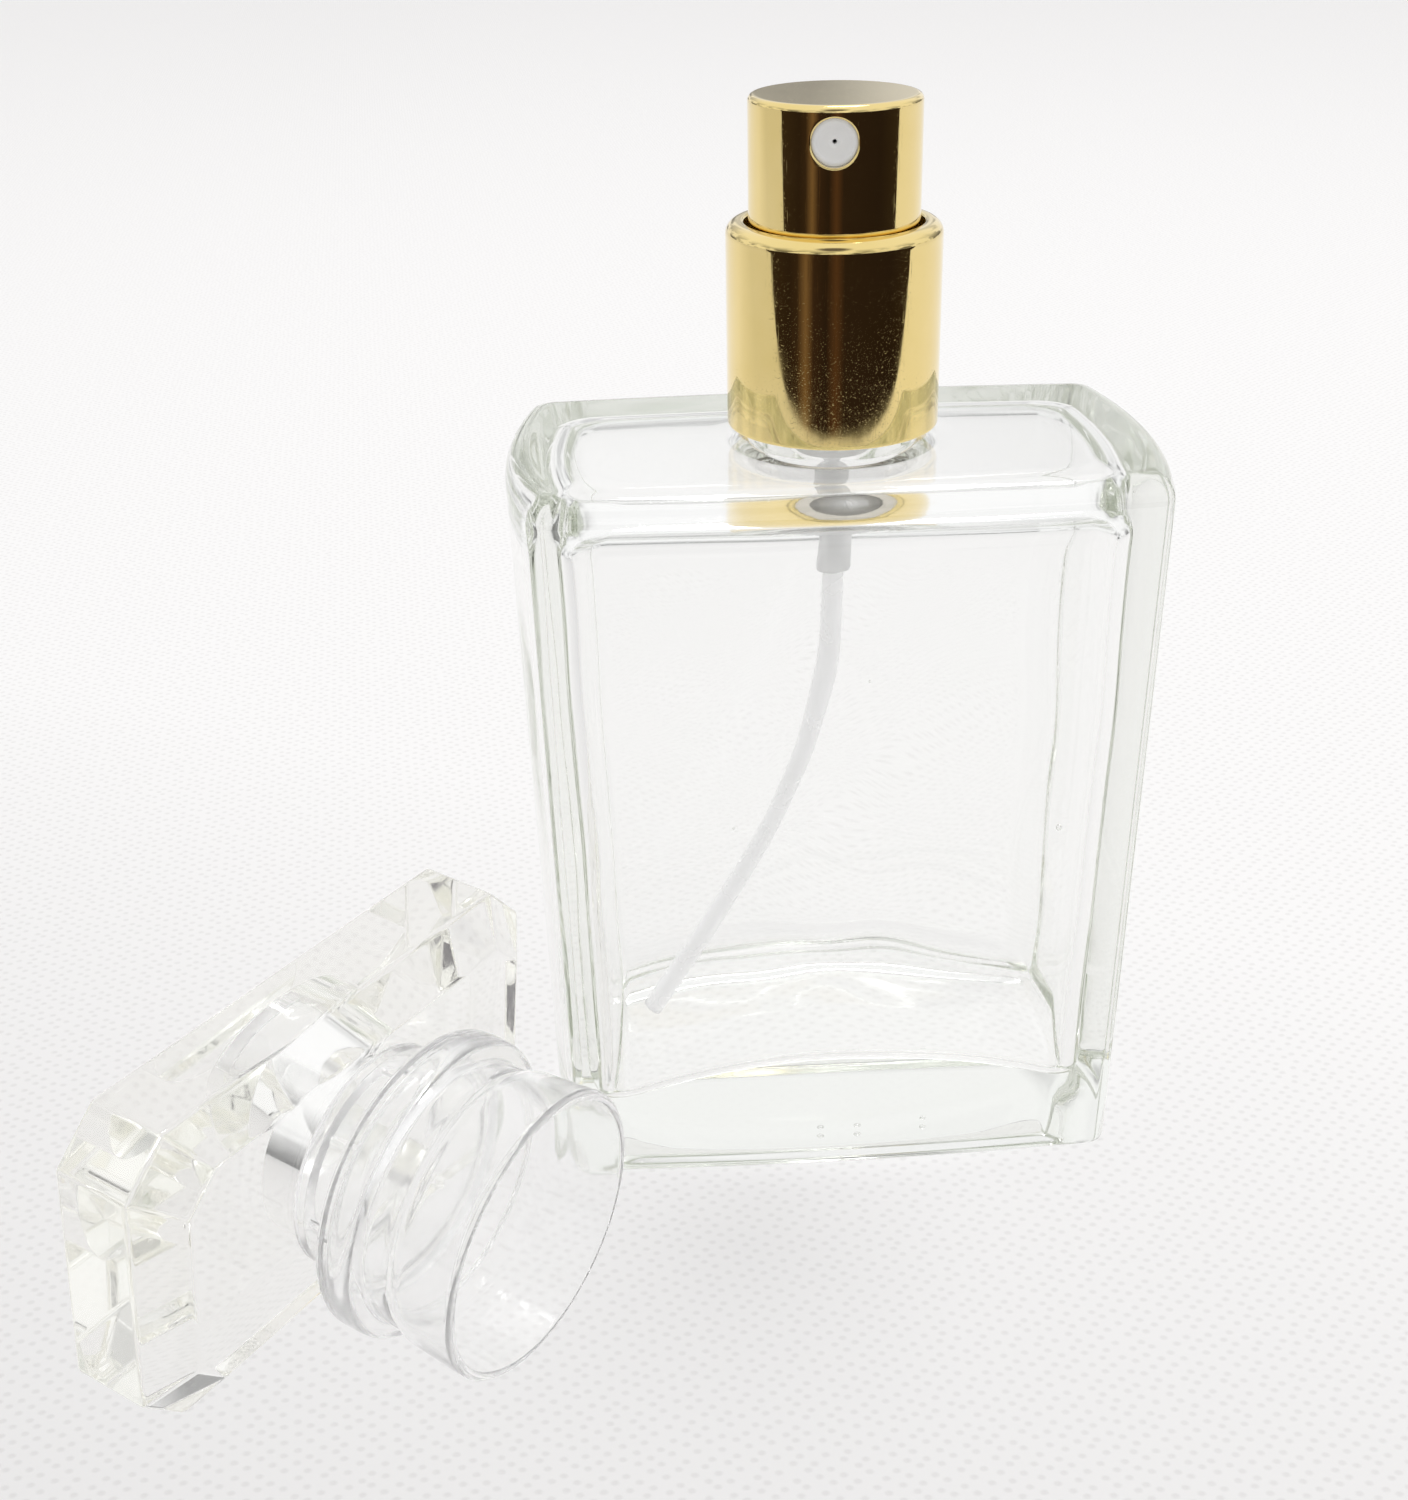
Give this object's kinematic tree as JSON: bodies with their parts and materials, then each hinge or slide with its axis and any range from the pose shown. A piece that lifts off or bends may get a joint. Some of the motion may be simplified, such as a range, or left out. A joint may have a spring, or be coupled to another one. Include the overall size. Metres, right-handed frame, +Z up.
{
  "type": "perfume bottle",
  "caption": "Flat rectangular clear glass perfume bottle with a screw-on gold fine-mist sprayer, a bent dip tube and a clear bevelled block cap lying beside it",
  "frame": {"origin": "centre of the bottle's base, on the sprayer's axis", "axes": "+Z up along the sprayer's axis, +X along the bottle's long side, the front faces -Y"},
  "size_m": [0.091, 0.0619, 0.0928],
  "materials": {
    "clear_glass": "clear moulded glass, faint green in thick sections",
    "gold_metal": "polished gold anodised",
    "ivory_plastic": "moulded",
    "white_plastic": "moulded",
    "natural_plastic": "translucent, unpigmented",
    "white_foam": "closed-cell foam",
    "grey_rubber": "matt",
    "steel": "bright drawn",
    "clear_acrylic": "clear, faint warm tint in thick sections",
    "clear_plastic": "clear, slightly milky"
  },
  "bodies": {
    "bottle": {"glass_bottle": "clear_glass"},
    "cap": {"cap_block": "clear_acrylic", "cap_liner": "clear_plastic"},
    "sprayer": {"pump_housing": "natural_plastic", "neck_gasket": "white_foam", "pump_turret": "white_plastic", "stem_seal": "grey_rubber", "dip_tube": "natural_plastic", "return_spring": "steel"},
    "collar": {"screw_closure": "ivory_plastic", "collar_shell": "gold_metal"},
    "stem": {"stem": "white_plastic"},
    "piston": {"piston": "white_plastic"},
    "actuator": {"actuator_core": "ivory_plastic", "actuator_shell": "gold_metal", "nozzle_insert": "white_plastic"},
    "ball": {"inlet_ball": "steel"}
  },
  "joints": [
    {"name": "cap_lift", "type": "slide", "parent": "bottle", "child": "cap", "axis": [0, 0, 1], "range_m": [0, 0.11]},
    {"name": "sprayer_rise", "type": "slide", "parent": "bottle", "child": "sprayer", "axis": [0, 0, 1], "range_m": [0, 0.00351]},
    {"name": "collar_turn", "type": "hinge", "parent": "sprayer", "child": "collar", "pos_m": [0, 0, 0.074], "axis": [0, 0, 1], "range_deg": [0, 630]},
    {"name": "actuator_press", "type": "slide", "parent": "sprayer", "child": "stem", "axis": [0, 0, -1], "range_m": [0, 0.0042], "stiffness_N_per_m": 1500, "springref_m": -0.003, "deforming": ["return_spring"]},
    {"name": "piston_slip", "type": "slide", "parent": "stem", "child": "piston", "axis": [0, 0, 1], "range_m": [0, 0.0005]},
    {"name": "actuator_turn", "type": "hinge", "parent": "stem", "child": "actuator", "pos_m": [0, 0, 0.085], "axis": [0, 0, 1], "continuous": true},
    {"name": "ball_lift", "type": "slide", "parent": "sprayer", "child": "ball", "axis": [0, 0, 1], "range_m": [0, 0.0006]}
  ],
  "couplings": [
    {"joint": "sprayer_rise", "follows": "collar_turn", "m_per_rad": 0.00031831}
  ]
}
